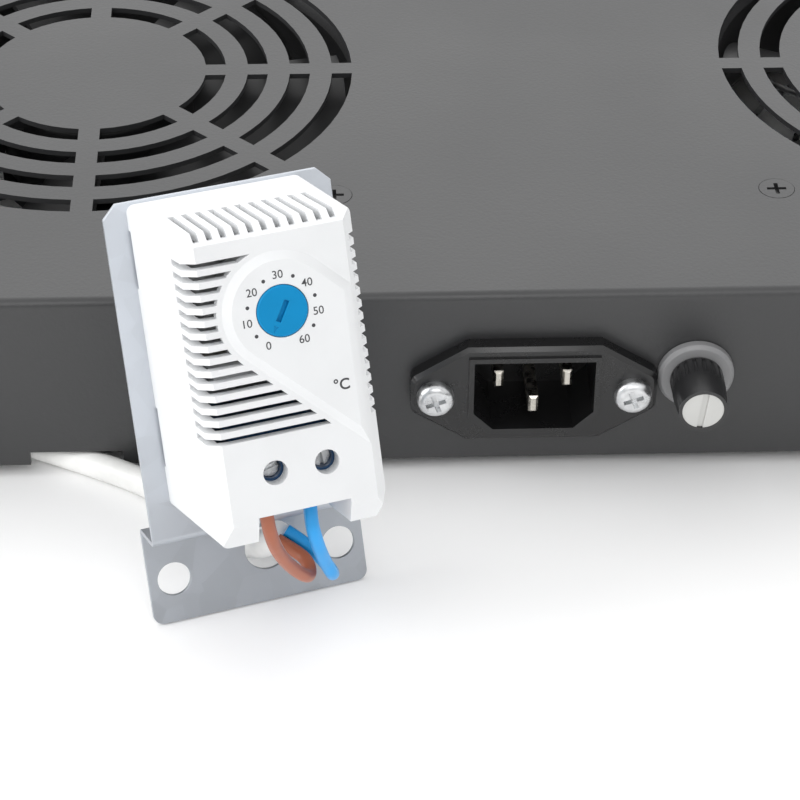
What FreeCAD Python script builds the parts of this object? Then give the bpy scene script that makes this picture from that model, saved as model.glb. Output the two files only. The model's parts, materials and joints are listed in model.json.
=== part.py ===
"""Rack fan tray: a 1U sheet-steel tray with two 120 mm mains fans, a mains inlet with
a separate fuse holder in the rear wall, and an enclosure thermostat on a Z bracket,
wired to the tray by a short white cable.

Frame: millimetres, +Z up, the tray stands on the plane Z = 0. +Y points from the rear
wall to the rack front, +X is to the right when the rear wall is looked at.  The origin
is the middle of the foot of the bounding box of everything but the cable.
"""
import FreeCAD
import Part
import math
import os

V = FreeCAD.Vector
X, Y, Z = V(1, 0, 0), V(0, 1, 0), V(0, 0, 1)

# ---------------------------------------------------------------- driving dimensions
# tray, folded from one sheet
sheet = 1.2
tray_width = 440.0
tray_depth = 180.0
tray_height = 44.0
rear_y = -52.68                    # outer face of the rear wall
rear_gap = 3.2                     # height of the rear wall's lower edge
return_flange = 14.0
bend_radius = 1.8

# rack front panel, one height unit
panel_width = 482.6
panel_height = 43.6
panel_thick = 2.0
rack_pitch_x = 465.1
rack_pitch_z = 31.75
rack_slot_width = 6.8
rack_slot_length = 10.0

# fans
fan_pitch = 198.0
fan_centre_depth = 90.0            # from the rear wall's outer face
fan_size = 119.5
fan_depth = 25.4
fan_hole_pitch = 105.0
duct_radius = 57.5
rotor_radius = 56.0
hub_radius = 21.5
hub_height = 18.5
blade_count = 7
shaft_radius = 2.0
running_clearance = 0.05
guard_wire = 0.8                   # wire radius
guard_eye = 2.0

# slotted grille over each fan
slot_width = 4.5
slot_pitch = 9.4
outer_slot_radius = 55.2
slot_rings = 4
spoke_width = 4.6

# mains inlet
inlet_x = -7.0
inlet_z = 21.8
inlet_screw_pitch = 40.0
flange_width = 50.0
flange_height = 23.0
flange_flat = 27.0
flange_proud = 3.7
cavity_width = 24.4
cavity_height = 16.5
cavity_chamfer = 4.0
cavity_depth = 16.0

# fuse holder
fuse_x = 26.0
fuse_z = 24.2
fuse_ring_radius = 7.8
fuse_ring_proud = 2.2
fuse_barrel_radius = 6.2
fuse_bore_radius = 4.98
cap_radius = 5.4
cap_length = 10.8
cap_end_radius = 4.2
fuse_travel = 30.0

# thermostat, in its own frame: u to the right, s up the bracket, w forward of its plate
thermo_x = -62.2                   # middle of the bracket's foot
thermo_dy = -40.9                  # the same, from the rear wall's outer face
thermo_turn = 17.5                 # degrees about Z
thermo_lean = 22.0                 # degrees backwards
bracket_width = 43.5
bracket_thick = 1.0
bracket_jog = 10.5
bracket_step = 20.0                # height of the step between foot and plate
bracket_top = 84.95
foot_hole_pitch = 33.3
foot_hole_radius = 3.3
foot_hole_height = 8.6
cable_hole_radius = 4.4
cable_hole_u = 2.3
cable_hole_height = 10.8
case_u = -0.5                      # middle of the case, from the bracket's middle
case_half_width = 16.8             # at the plate
case_bottom = 26.3
case_top = 84.4
shoulder_half_width = 15.6         # where the front bevel starts
shoulder_bottom = 27.5
shoulder_depth = 33.5
front_half_width = 13.4            # the flat front
front_bottom = 31.8
front_top = 82.4
case_depth = 36.0
case_wall = 2.0
entry_left, entry_right = -9.2, 7.9
entry_top = 32.6                   # upper edge of the wires' opening
vent_pitch = 2.25
vent_width = 1.1
vent_count = 15
vent_first = 78.95
top_vent_count = 11
top_vent_pitch = 2.45
dial_u = -0.1
dial_height = 68.8
dial_radius = 4.6
plateau_radius = 10.6
plateau_slope = 1.6                # run of the sloped edge round the raised field
plateau_rise = 0.8
plateau_slant = -43.7              # degrees, the way the raised band runs off the dial
terminal_us = (-5.05, 4.45)
terminal_height = 40.15
wire_depths = (24.0, 21.0)

# cable and conductors
cable_radius = 2.8
conductor_radius = 1.3

fan_y = rear_y + fan_centre_depth
under_top = tray_height - sheet
fan_bottom = under_top - fan_depth
fan_xs = (-fan_pitch / 2, fan_pitch / 2)


# ---------------------------------------------------------------- helpers
def block(x0, x1, y0, y1, z0, z1):
    """Box between two corners."""
    return Part.makeBox(x1 - x0, y1 - y0, z1 - z0, V(x0, y0, z0))


def rod(base, axis, radius, length):
    """Round bar from base along axis."""
    return Part.makeCylinder(radius, length, base, axis)


def cone(base, axis, r0, r1, length):
    """Frustum from base along axis."""
    return Part.makeCone(r0, r1, length, base, axis)


def slab(points, along):
    """Straight extrusion of a closed polygon."""
    closed = list(points) + [points[0]]
    return Part.Face(Part.makePolygon(closed)).extrude(along)


def fuse(shapes):
    """One solid from overlapping ones."""
    joined = shapes[0].fuse(list(shapes[1:])) if len(shapes) > 1 else shapes[0]
    return joined.removeSplitter()


def group(shapes):
    """Separate solids kept together in one node."""
    return Part.makeCompound(list(shapes))


def spin(shape, centre, axis, degrees):
    """Turned copy."""
    turned = shape.copy()
    turned.rotate(centre, axis, degrees)
    return turned


def ring_of(shape, centre, axis, count):
    """Copies spaced evenly round an axis."""
    return [spin(shape, centre, axis, 360.0 * i / count) for i in range(count)]


def prism(centre, axis, across, length, sides=6):
    """Regular bar, such as a nut's hexagon, measured across its flats."""
    radius = across / 2 / math.cos(math.pi / sides)
    side = axis.cross(Z) if abs(axis.z) < 0.9 else X
    side.normalize()
    up = axis.cross(side)
    corners = []
    for i in range(sides):
        angle = 2 * math.pi * i / sides
        corners.append(centre + side * (radius * math.cos(angle)) + up * (radius * math.sin(angle)))
    return slab(corners, axis * length)


def edges_where(shape, test):
    """Edges whose middle point and direction pass the test."""
    chosen = []
    for edge in shape.Edges:
        if len(edge.Vertexes) == 2:
            a, b = edge.Vertexes[0].Point, edge.Vertexes[1].Point
            if test((a + b) * 0.5, b - a):
                chosen.append(edge)
    return chosen


nodes = {}


# ---------------------------------------------------------------- tray body
def grille(cx):
    """Arc slots of one fan opening: rings cut into eight sectors by straight spokes."""
    centre = V(cx, fan_y, under_top - 1)
    rings = []
    for i in range(slot_rings):
        middle = outer_slot_radius - i * slot_pitch
        outer = rod(centre, Z, middle + slot_width / 2, sheet + 2)
        rings.append(outer.cut(rod(centre, Z, middle - slot_width / 2, sheet + 2)))
    reach = outer_slot_radius + slot_width
    bar = block(cx - reach, cx + reach, fan_y - spoke_width / 2, fan_y + spoke_width / 2,
                under_top - 2, tray_height + 2)
    bars = [spin(bar, centre, Z, 45.0 * i) for i in range(4)]
    return Part.makeCompound(rings).cut(bars)


def fan_corners(cx):
    """Screw positions of one fan."""
    half = fan_hole_pitch / 2
    return [(cx + i * half, fan_y + j * half) for i in (-1, 1) for j in (-1, 1)]


def inlet_outline(half_width, half_height, flat, y):
    """Inlet outline: a flat top and bottom with wings that slope to the screw ears."""
    ear = half_height * 0.36
    right = [(flat / 2, half_height), (half_width, ear), (half_width, -ear), (flat / 2, -half_height)]
    left = [(-a, b) for a, b in reversed(right)]
    return [V(inlet_x + a, y, inlet_z + b) for a, b in right + left]


def cavity_outline(grow, y):
    """Socket outline with its two lower corners bevelled."""
    w, h, c = cavity_width / 2 + grow, cavity_height / 2 + grow, cavity_chamfer
    shape = [(-w, h), (w, h), (w, -h + c), (w - c, -h), (-w + c, -h), (-w, -h + c)]
    return [V(inlet_x + a, y, inlet_z + b) for a, b in shape]


strip_x, strip_y = -196.0, rear_y + 27.5
strip_bottom = under_top - 17.0
clip_x, clip_y, clip_z = -133.5, rear_y + 15.6, 7.05
earth_x, earth_y = 62.0, rear_y + 15.0
notch_left, notch_right, notch_top = -110.0, -91.0, 6.4
panel_screw_xs = (-200.0, -70.0, 70.0, 200.0)


def tray_body():
    """Top sheet with rear, side and front walls folded down and side returns folded in."""
    w, y0, y1 = tray_width / 2, rear_y, rear_y + tray_depth
    outer = block(-w, w, y0, y1, 0, tray_height)
    outer = outer.makeFillet(bend_radius, edges_where(outer, lambda m, d: abs(m.z - tray_height) < 0.01))
    inner = block(-w + sheet, w - sheet, y0 + sheet, y1 - sheet, -1, under_top)
    inner = inner.makeFillet(bend_radius - sheet,
                             edges_where(inner, lambda m, d: abs(m.z - under_top) < 0.01))
    body = outer.cut(inner)
    body = body.cut([block(-w - 1, w + 1, y0 - 1, y0 + sheet + 0.01, -1, rear_gap),
                     block(notch_left, notch_right, y0 - 1, y0 + sheet + 1, 0, notch_top)])
    seam = 0.5
    seams = []
    for sx in (-1, 1):
        for yy in (y0, y1 - sheet):
            x_in = sx * (w - sheet)
            seams.append(block(min(x_in, x_in - sx * seam), max(x_in, x_in - sx * seam),
                               yy - 1, yy + sheet + 1, -1, under_top - 3))
    body = body.cut(seams)
    returns = []
    for sx in (-1, 1):
        x_a, x_b = sx * (w - 0.2), sx * (w - return_flange)
        returns.append(block(min(x_a, x_b), max(x_a, x_b), y0 + 4, y1 - 4, 0, sheet))
    body = fuse([body] + returns)
    cuts = [grille(cx) for cx in fan_xs]
    for cx in fan_xs:
        for px, py in fan_corners(cx):
            cuts.append(rod(V(px, py, under_top - 1), Z, 2.25, sheet + 2))
            cuts.append(cone(V(px, py, tray_height - 1.85), Z, 2.0, 3.9, 1.9))
    cuts.append(slab(cavity_outline(1.7, y0 - 1), Y * (sheet + 2)))
    for sx in (-1, 1):
        cuts.append(rod(V(inlet_x + sx * inlet_screw_pitch / 2, y0 - 1, inlet_z), Y, 1.7, sheet + 2))
    cuts.append(rod(V(fuse_x, y0 - 1, fuse_z), Y, fuse_barrel_radius + 0.3, sheet + 2))
    cuts.append(rod(V(earth_x, earth_y, under_top - 1), Z, 2.15, sheet + 2))
    cuts.append(rod(V(clip_x + 9.0, clip_y, under_top - 1), Z, 2.15, sheet + 2))
    for sy in (-1, 1):
        cuts.append(rod(V(strip_x + 2.0, strip_y + sy * 11.0, under_top - 1), Z, 1.7, sheet + 2))
    for px in panel_screw_xs:
        cuts.append(rod(V(px, y1 - sheet - 1, tray_height / 2), Y, 2.2, sheet + 2))
    return body.cut(cuts)


def front_panel():
    """Rack front with two slotted ears and countersunk fixing holes."""
    y0 = rear_y + tray_depth
    z0 = (tray_height - panel_height) / 2
    plate = block(-panel_width / 2, panel_width / 2, y0, y0 + panel_thick, z0, z0 + panel_height)
    plate = plate.makeFillet(1.5, edges_where(plate, lambda m, d: abs(abs(m.x) - panel_width / 2) < 0.01
                                              and abs(d.y) > 1))
    cuts = []
    run = rack_slot_length - rack_slot_width
    for sx in (-1, 1):
        for sz in (-1, 1):
            cx, cz = sx * rack_pitch_x / 2, tray_height / 2 + sz * rack_pitch_z / 2
            ends = [rod(V(cx + i * run / 2, y0 - 1, cz), Y, rack_slot_width / 2, panel_thick + 2)
                    for i in (-1, 1)]
            middle = block(cx - run / 2, cx + run / 2, y0 - 1, y0 + panel_thick + 1,
                           cz - rack_slot_width / 2, cz + rack_slot_width / 2)
            cuts.append(fuse(ends + [middle]))
    for px in panel_screw_xs:
        cuts.append(rod(V(px, y0 - 1, tray_height / 2), Y, 2.2, panel_thick + 2))
        cuts.append(cone(V(px, y0 + panel_thick - 2.0, tray_height / 2), Y, 2.0, 4.1, 2.05))
    return plate.cut(cuts)


def countersunk_screw(tip, axis, length, radius, head_radius, head_height):
    """Flat-headed screw whose axis runs from its tip to its head, with a cross recess."""
    head = tip + axis * length
    shank = rod(tip, axis, radius, length - head_height + 0.2)
    flat = cone(head - axis * head_height, axis, radius, head_radius, head_height)
    side = axis.cross(X) if abs(axis.x) < 0.9 else axis.cross(Z)
    cross = []
    for turn in (0, 90):
        bar = Part.makeBox(head_radius * 1.1, head_radius * 0.24, head_height * 0.7)
        bar.translate(V(-head_radius * 0.55, -head_radius * 0.12, -head_height * 0.7 + 0.01))
        bar.rotate(V(0, 0, 0), Z, turn)
        bar.Placement = FreeCAD.Placement(head, FreeCAD.Rotation(Z, axis)).multiply(bar.Placement)
        cross.append(bar)
    return fuse([shank, flat]).cut(cross)


def pan_screw(under_head, axis, length, radius, head_radius, head_height):
    """Domed screw; axis points out of the head, under_head is the head's seat."""
    shank = rod(under_head - axis * length, axis, radius, length + 0.2)
    head = rod(under_head, axis, head_radius, head_height)
    head = head.makeFillet(head_height * 0.6, [e for e in head.Edges if len(e.Vertexes) == 1
                                               and (e.CenterOfMass - under_head).dot(axis) > head_height / 2])
    cross = []
    for turn in (0, 90):
        bar = Part.makeBox(head_radius * 1.1, head_radius * 0.26, head_height)
        bar.translate(V(-head_radius * 0.55, -head_radius * 0.13, -head_height * 0.55))
        bar.rotate(V(0, 0, 0), Z, turn + 20)
        bar.Placement = FreeCAD.Placement(under_head + axis * head_height,
                                          FreeCAD.Rotation(Z, axis)).multiply(bar.Placement)
        cross.append(bar)
    return fuse([shank, head]).cut(cross)


def hex_nut(seat, axis, across, thick, bore):
    """Hexagon nut; axis points away from its seat."""
    return prism(seat, axis, across, thick).cut(rod(seat - axis, axis, bore, thick + 2))


# ---------------------------------------------------------------- fans
def fan_frame(cx):
    """Square flanges, round duct, corner pillars and a motor seat on four arms."""
    half = fan_size / 2
    z0, z1 = fan_bottom, under_top
    flange_thick = 3.6
    flanges = []
    for zz in (z0, z1 - flange_thick):
        plate = block(cx - half, cx + half, fan_y - half, fan_y + half, zz, zz + flange_thick)
        flanges.append(plate.makeFillet(6.0, edges_where(plate, lambda m, d: abs(d.z) > 1)))
    axis = V(cx, fan_y, z0)
    duct = rod(axis, Z, half, fan_depth)
    pillars = [rod(V(px, py, z0), Z, 4.6, fan_depth) for px, py in fan_corners(cx)]
    frame = fuse(flanges + [duct] + pillars)
    flared = [rod(V(cx, fan_y, z0 - 1), Z, duct_radius, fan_depth + 2),
              cone(V(cx, fan_y, z1 - 3.0), Z, duct_radius, duct_radius + 1.6, 3.01),
              cone(V(cx, fan_y, z0 + 3.0), Z * -1, duct_radius, duct_radius + 1.6, 3.01)]
    holes = [rod(V(px, py, z0 - 1), Z, 2.3, fan_depth + 2) for px, py in fan_corners(cx)]
    sinks = [cone(V(px, py, z1 - 0.9), Z, 2.2, 3.2, 0.92) for px, py in fan_corners(cx)]
    frame = frame.cut(flared + holes + sinks)
    seat = rod(axis, Z, hub_radius + 1.0, 2.6)
    arms = []
    for i in range(4):
        arm = block(cx + hub_radius - 1, cx + duct_radius + 1.2, fan_y - 2.0, fan_y + 2.0, z0, z0 + 2.6)
        arms.append(spin(arm, axis, Z, 22.5 + 90 * i))
    tower = rod(axis, Z, 4.2, 16.0)
    bore = rod(V(cx, fan_y, z0 + 1.2), Z, shaft_radius + running_clearance, fan_depth)
    return fuse([frame, seat, tower] + arms).cut(bore)


def blade_section(radius, chord, pitch_deg, thick, camber):
    """Closed blade profile, two arcs, in the plane square to the blade's radius."""
    lean = math.radians(pitch_deg)
    along = V(0, math.cos(lean), math.sin(lean))
    across = V(0, -math.sin(lean), math.cos(lean))
    start, end = along * (-chord / 2), along * (chord / 2)
    top, low = across * (camber + thick / 2), across * (camber - thick / 2)
    nose = across * (thick / 4)
    shift = V(radius, 0, 0)
    pts = [start + nose, top, end + nose, end - nose, low, start - nose]
    a, b, c, d, e, f = [p + shift for p in pts]
    return Part.Wire([Part.Arc(a, b, c).toShape(), Part.makeLine(c, d),
                      Part.Arc(d, e, f).toShape(), Part.makeLine(f, a)])


def fan_rotor(cx):
    """Hub cup with its shaft and seven twisted, cambered blades."""
    top = under_top - 1.6
    base = top - hub_height
    axis = V(cx, fan_y, base)
    cup = rod(axis, Z, hub_radius, hub_height)
    cup = cup.makeFillet(1.6, [e for e in cup.Edges if e.CenterOfMass.z > top - 0.01])
    cup = cup.cut(rod(V(cx, fan_y, base - 1), Z, hub_radius - 2.0, hub_height - 1.4))
    cup = cup.cut(rod(V(cx, fan_y, top - 0.5), Z, hub_radius - 6.0, 1.0))
    shaft = rod(V(cx, fan_y, fan_bottom + 2.4), Z, shaft_radius, top - fan_bottom - 3.4)
    sections = [blade_section(hub_radius - 1.0, 21.0, 42.0, 1.9, 1.6),
                blade_section(38.0, 27.0, 34.0, 1.7, 2.4),
                blade_section(rotor_radius, 33.0, 27.0, 1.4, 3.0)]
    blade = Part.makeLoft(sections, True)
    blade.translate(V(cx, fan_y, base + hub_height / 2 - 0.6))
    blades = ring_of(blade, axis, Z, blade_count)
    swept = rod(V(cx, fan_y, fan_bottom + 3.2), Z, rotor_radius, under_top - fan_bottom - 4.4)
    blades = [b.common(swept) for b in blades]
    return fuse([cup, shaft] + blades)


def fan_guard(cx):
    """Welded wire guard under a fan: four rings on four arms that end in flat screw eyes."""
    z_arm = fan_bottom - guard_eye / 2
    z_ring = z_arm - 2 * guard_wire
    foot = V(cx, fan_y, z_ring - guard_wire)
    rings = []
    for radius in (14.0, 26.0, 38.0, 50.0):
        disc = rod(foot, Z, radius + guard_wire, 2 * guard_wire)
        rings.append(disc.cut(rod(foot, Z, radius - guard_wire, 2 * guard_wire)))
    reach = fan_hole_pitch / 2 * math.sqrt(2)
    arms = []
    for i in range(4):
        bar = rod(V(cx + 12.5, fan_y, z_arm), X, guard_wire, reach - 12.5 - 3.2)
        eye = rod(V(cx + reach, fan_y, fan_bottom - guard_eye), Z, 4.2, guard_eye)
        arm = fuse([bar, eye]).cut(rod(V(cx + reach, fan_y, fan_bottom - 5), Z, 2.3, 10))
        arms.append(spin(arm, V(cx, fan_y, 0), Z, 45 + 90 * i))
    return group(rings + arms)


# ---------------------------------------------------------------- mains inlet
def inlet_body():
    """Flanged socket housing with its bevelled cavity and three contact tails."""
    face = rear_y - flange_proud
    flange = slab(inlet_outline(flange_width / 2, flange_height / 2, flange_flat, face),
                  Y * flange_proud)
    flange = flange.makeFillet(2.4, edges_where(flange, lambda m, d: abs(d.y) > 1
                                                and abs(m.x - inlet_x) > flange_width / 2 - 1))
    flange = flange.makeChamfer(0.8, edges_where(flange, lambda m, d: abs(m.y - face) < 0.01))
    housing = slab(cavity_outline(1.5, rear_y), Y * (cavity_depth - flange_proud + 2.2))
    rim = slab(cavity_outline(1.1, face - 0.5), Y * 1.0)
    body = fuse([flange, housing, rim])
    cuts = [slab(cavity_outline(0, face - 1), Y * (cavity_depth + 1))]
    for sx in (-1, 1):
        cuts.append(rod(V(inlet_x + sx * inlet_screw_pitch / 2, face - 1, inlet_z), Y, 1.7, flange_proud + 2))
    for px, pz in pin_places:
        cuts.append(block(inlet_x + px - 1.02, inlet_x + px + 1.02, face + cavity_depth - 1,
                          face + cavity_depth + 8, inlet_z + pz - 2.02, inlet_z + pz + 2.02))
    return body.cut(cuts)


pin_places = ((-7.0, 1.4), (7.0, 1.4), (0.0, -3.0))


def inlet_pins():
    """Three flat pins that stand in the cavity and end in tabs behind the housing."""
    face = rear_y - flange_proud
    pins = []
    for px, pz in pin_places:
        tip = face + (0.6 if pz < 0 else 3.4)
        end = face + cavity_depth + 11.0
        pin = block(inlet_x + px - 1.0, inlet_x + px + 1.0, tip, face + cavity_depth + 1.8,
                    inlet_z + pz - 2.0, inlet_z + pz + 2.0)
        pin = pin.makeChamfer(0.5, edges_where(pin, lambda m, d: abs(m.y - tip) < 0.01))
        tab = block(inlet_x + px - 0.4, inlet_x + px + 0.4, face + cavity_depth + 1.0, end,
                    inlet_z + pz - 2.0, inlet_z + pz + 2.0)
        eye = rod(V(inlet_x + px - 2, end - 2.4, inlet_z + pz), X, 0.8, 4)
        pins.append(fuse([pin, tab]).cut(eye))
    return group(pins)


# ---------------------------------------------------------------- fuse holder
def fuse_holder_body():
    """Threaded barrel with a round collar outside the wall and two solder tags."""
    collar = rod(V(fuse_x, rear_y - fuse_ring_proud, fuse_z), Y, fuse_ring_radius, fuse_ring_proud)
    collar = collar.makeChamfer(0.7, [e for e in collar.Edges
                                      if e.CenterOfMass.y < rear_y - fuse_ring_proud + 0.01])
    barrel = rod(V(fuse_x, rear_y - 0.2, fuse_z), Y, fuse_barrel_radius, 33.0)
    bore = rod(V(fuse_x, rear_y - fuse_ring_proud - 1, fuse_z), Y, fuse_bore_radius, 32.0)
    side_tag = block(fuse_x - 2.4, fuse_x + 2.4, rear_y + 20, rear_y + 20.8,
                     fuse_z - fuse_barrel_radius - 7, fuse_z - fuse_barrel_radius + 0.6)
    end_tag = block(fuse_x - 2.4, fuse_x + 2.4, rear_y + 32.4, rear_y + 39.5, fuse_z - 0.4, fuse_z + 0.4)
    return fuse([collar, barrel, side_tag, end_tag]).cut(bore)


def fuse_holder_nut():
    """Round nut with two spanner flats that clamps the barrel from inside the tray."""
    seat = V(fuse_x, rear_y + sheet, fuse_z)
    return hex_nut(seat, Y, 15.0, 3.4, fuse_barrel_radius + 0.02)


def fuse_cap():
    """Knurled cap, tapered towards its end, with a skirt that runs in the barrel."""
    face = rear_y - fuse_ring_proud - 0.3
    skirt = rod(V(fuse_x, face - 0.1, fuse_z), Y, fuse_bore_radius - running_clearance, 7.0)
    grip = rod(V(fuse_x, face - 5.0, fuse_z), Y, cap_radius, 5.0)
    taper = cone(V(fuse_x, face - cap_length, fuse_z), Y, cap_end_radius + 0.7, cap_radius,
                 cap_length - 5.0)
    groove = rod(V(fuse_x + cap_radius + 0.15, face - 4.6, fuse_z), Y, 0.45, 4.2)
    cap = fuse([skirt, grip, taper]).cut(ring_of(groove, V(fuse_x, 0, fuse_z), Y, 18))
    recess = rod(V(fuse_x, face - cap_length - 1, fuse_z), Y, cap_end_radius, 1.8)
    clip_bore = rod(V(fuse_x, face - 2.0, fuse_z), Y, 2.0 + running_clearance, 20.0)
    clip_room = rod(V(fuse_x, face + 1.4, fuse_z), Y, 3.7, 20.0)
    return cap.cut([recess, clip_bore, clip_room])


def fuse_cap_disc():
    """Slotted disc let into the end of the cap."""
    face = rear_y - fuse_ring_proud - 0.3 - cap_length
    disc = rod(V(fuse_x, face + 0.1, fuse_z), Y, cap_end_radius - 0.02, 0.7)
    slot = block(fuse_x - cap_end_radius, fuse_x + cap_end_radius, face - 1, face + 0.5,
                 fuse_z - 0.6, fuse_z + 0.6)
    return disc.cut(spin(slot, V(fuse_x, 0, fuse_z), Y, 96))


fuse_link_y = rear_y - fuse_ring_proud + 1.6


def fuse_clip():
    """Spring sleeve that holds the fuse; its stub turns in the cap."""
    sleeve = rod(V(fuse_x, fuse_link_y, fuse_z), Y, 3.3, 6.0)
    sleeve = sleeve.cut(rod(V(fuse_x, fuse_link_y + 0.8, fuse_z), Y, 2.72, 6.0))
    stub = rod(V(fuse_x, fuse_link_y - 3.0, fuse_z), Y, 2.0, 3.4)
    saw = block(fuse_x - 5, fuse_x + 5, fuse_link_y + 2.0, fuse_link_y + 7, fuse_z - 0.4, fuse_z + 0.4)
    return fuse([sleeve, stub]).cut([saw, spin(saw, V(fuse_x, 0, fuse_z), Y, 90)])


def fuse_glass():
    """Glass tube of a 5 x 20 mm fuse."""
    tube = rod(V(fuse_x, fuse_link_y + 5.4, fuse_z), Y, 2.45, 11.2)
    return tube.cut(rod(V(fuse_x, fuse_link_y + 5.3, fuse_z), Y, 1.9, 12))


def fuse_end_caps():
    """The fuse's two metal end caps."""
    caps = []
    for start in (0.85, 15.45):
        cup = rod(V(fuse_x, fuse_link_y + start, fuse_z), Y, 2.68, 5.4)
        caps.append(cup)
    tube = rod(V(fuse_x, fuse_link_y + 5.38, fuse_z), Y, 2.46, 11.24)
    return group([c.cut(tube) for c in caps])


# ---------------------------------------------------------------- fittings inside the tray
def terminal_strip():
    """Six-way screw terminal block hung under the top sheet."""
    ways, pitch = 6, 8.0
    z0, z1 = strip_bottom, under_top
    y_first = strip_y - ways * pitch / 2
    rail = block(strip_x - 9.0, strip_x + 9.0, y_first, y_first + ways * pitch, z1 - 4.0, z1)
    bodies = [rail]
    cuts = []
    for i in range(ways):
        yc = y_first + (i + 0.5) * pitch
        bodies.append(block(strip_x - 8.0, strip_x + 8.0, yc - 3.2, yc + 3.2, z0, z1 - 3.0))
        cuts.append(rod(V(strip_x - 9.5, yc, z0 + 6.0), X, 1.9, 19.0))
        for sx in (-1, 1):
            cuts.append(rod(V(strip_x + sx * 4.4, yc, z0 - 1), Z, 1.7, 8.0))
    return fuse(bodies).cut(cuts)


def terminal_strip_screws():
    """Clamp screws of the terminal block."""
    screws = []
    for i in range(6):
        yc = strip_y - 24.0 + (i + 0.5) * 8.0
        for sx in (-1, 1):
            screw = rod(V(strip_x + sx * 4.4, yc, strip_bottom + 0.6), Z, 1.55, 3.6)
            slot = block(strip_x + sx * 4.4 - 2, strip_x + sx * 4.4 + 2, yc - 0.3, yc + 0.3,
                         strip_bottom, strip_bottom + 1.2)
            screws.append(screw.cut(slot))
    return group(screws)


def cable_clip():
    """Cable clamp: an open loop round the cable with a tall foot up to the top sheet."""
    axis = V(15.0, -4.0, -4.3)
    axis.normalize()
    centre = V(clip_x, clip_y, clip_z)
    loop = rod(centre - axis * 4.0, axis, cable_radius + 1.6, 8.0)
    leg = block(clip_x - 3.0, clip_x + 3.0, clip_y - 4.0, clip_y + 4.0, clip_z + 2.0, under_top)
    foot = block(clip_x - 3.0, clip_x + 13.5, clip_y - 4.0, clip_y + 4.0, under_top - 2.0, under_top)
    clip = fuse([loop, leg, foot])
    return clip.cut([rod(centre - axis * 8.0, axis, cable_radius + 0.35, 16.0),
                     rod(V(clip_x + 9.0, clip_y, under_top - 5), Z, 2.15, 10)])


# ---------------------------------------------------------------- thermostat
lift = bracket_thick * math.sin(math.radians(thermo_lean))
thermo_foot = V(thermo_x, rear_y + thermo_dy, lift)
thermo_turned = FreeCAD.Rotation(Z, thermo_turn)
thermo_leaned = FreeCAD.Rotation(X, -thermo_lean)
thermo_frame = FreeCAD.Placement(thermo_foot, thermo_turned.multiply(thermo_leaned))


def local(u, s, w):
    """Point in the thermostat's own axes before it is set in place."""
    return V(u, -(w + bracket_jog), s)


def place(u, s, w):
    """The same point in the tray's frame."""
    return thermo_frame.multVec(local(u, s, w))


def seated(shape):
    """Shape modelled in the thermostat's axes, set in place."""
    moved = shape.copy()
    moved.Placement = thermo_frame.multiply(moved.Placement)
    return moved


def cell(u0, u1, s0, s1, w0, w1):
    """Box in the thermostat's own axes."""
    return block(u0, u1, -(w1 + bracket_jog), -(w0 + bracket_jog), s0, s1)


FORWARD = V(0, -1, 0)


def thermostat_bracket():
    """Z bracket: foot, a step forwards, and the plate the thermostat is screwed to."""
    t, half = bracket_thick, bracket_width / 2
    profile = [(0, -bracket_jog), (bracket_step - t, -bracket_jog), (bracket_step - t, 0.0),
               (bracket_top, 0.0), (bracket_top, -t), (bracket_step, -t),
               (bracket_step, -bracket_jog - t), (0, -bracket_jog - t)]
    bracket = slab([local(-half, s, w) for s, w in profile], X * bracket_width)

    def bend(outer):
        def test(m, d):
            if abs(d.x) < 1:
                return False
            s, w = m.z, -m.y - bracket_jog
            outside = (abs(s - bracket_step + t) < 0.01 and abs(w) < 0.01)
            outside = outside or (abs(s - bracket_step) < 0.01 and abs(w + bracket_jog + t) < 0.01)
            inside = (abs(s - bracket_step) < 0.01 and abs(w + t) < 0.01)
            inside = inside or (abs(s - bracket_step + t) < 0.01 and abs(w + bracket_jog) < 0.01)
            return outside if outer else inside
        return test
    bracket = bracket.makeFillet(t + 0.6, edges_where(bracket, bend(True)))
    bracket = bracket.makeFillet(0.6, edges_where(bracket, bend(False)))
    bracket = bracket.makeChamfer(2.6, edges_where(bracket, lambda m, d: abs(d.y) > 0.5 and m.z > 80))
    bracket = bracket.makeFillet(2.0, edges_where(bracket, lambda m, d: abs(d.y) > 0.5 and m.z < 1))
    cuts = []
    for su in (-1, 1):
        cuts.append(rod(local(su * foot_hole_pitch / 2, foot_hole_height, -bracket_jog - 3),
                        FORWARD, foot_hole_radius, 6))
    cuts.append(rod(local(cable_hole_u, cable_hole_height, -bracket_jog - 3), FORWARD,
                    cable_hole_radius, 6))
    for s in (base_screw_low, base_screw_high):
        cuts.append(rod(local(0, s, -3), FORWARD, 1.7, 6))
    return bracket.cut(cuts)


base_screw_low, base_screw_high = 45.0, 76.0


def thermostat_base():
    """Back half of the thermostat: a plate with a raised rim and two bosses, inside the cover."""
    half = case_half_width - case_wall - 0.2
    low, high = entry_top + 1.2, case_top - case_wall - 0.2
    back = cell(case_u - half, case_u + half, low, high, 0, 2.4)
    rim = cell(case_u - half + 0.5, case_u + half - 0.5, low + 0.4, high - 0.4, 0, 7.0)
    hollow = cell(case_u - half + 2.0, case_u + half - 2.0, low + 2.0, high - 2.0, 1.8, 8.0)
    bosses = [rod(local(0, s, 1), FORWARD, 3.2, 6.0) for s in (base_screw_low, base_screw_high)]
    holes = [rod(local(0, s, -1), FORWARD, 1.3, 7.0) for s in (base_screw_low, base_screw_high)]
    return fuse([back, rim]).cut(hollow).fuse(bosses).removeSplitter().cut(holes)


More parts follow.
